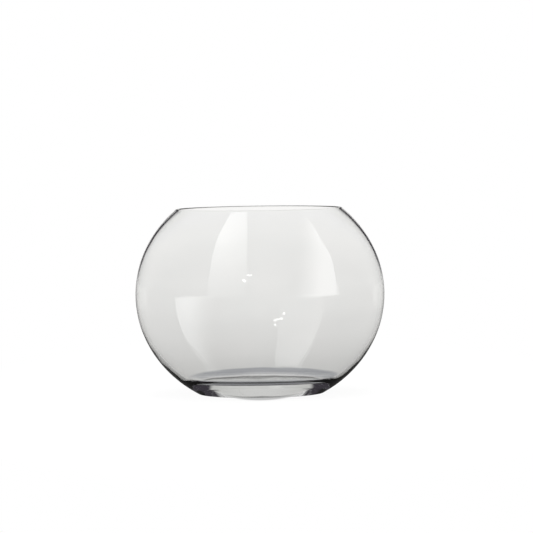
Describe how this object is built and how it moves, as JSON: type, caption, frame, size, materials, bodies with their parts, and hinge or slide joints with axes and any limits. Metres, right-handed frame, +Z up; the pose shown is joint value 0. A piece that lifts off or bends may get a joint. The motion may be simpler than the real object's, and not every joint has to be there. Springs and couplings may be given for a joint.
{
  "type": "rose bowl vase",
  "caption": "Flattened oval vase of clear blown glass with a thick flat foot and a wide open cut rim, for cut flowers or floating blooms.",
  "frame": {"origin": "centre of the foot, on the surface that the vase stands on", "axes": "+X along the wide side, +Y from the front face to the back face, +Z up"},
  "size_m": [0.25, 0.105, 0.1875],
  "materials": {
    "clear_glass": "clear colourless blown glass, fire polished, with a ground and polished rim"
  },
  "bodies": {
    "root": {"glass_bowl": "clear_glass"}
  },
  "joints": []
}
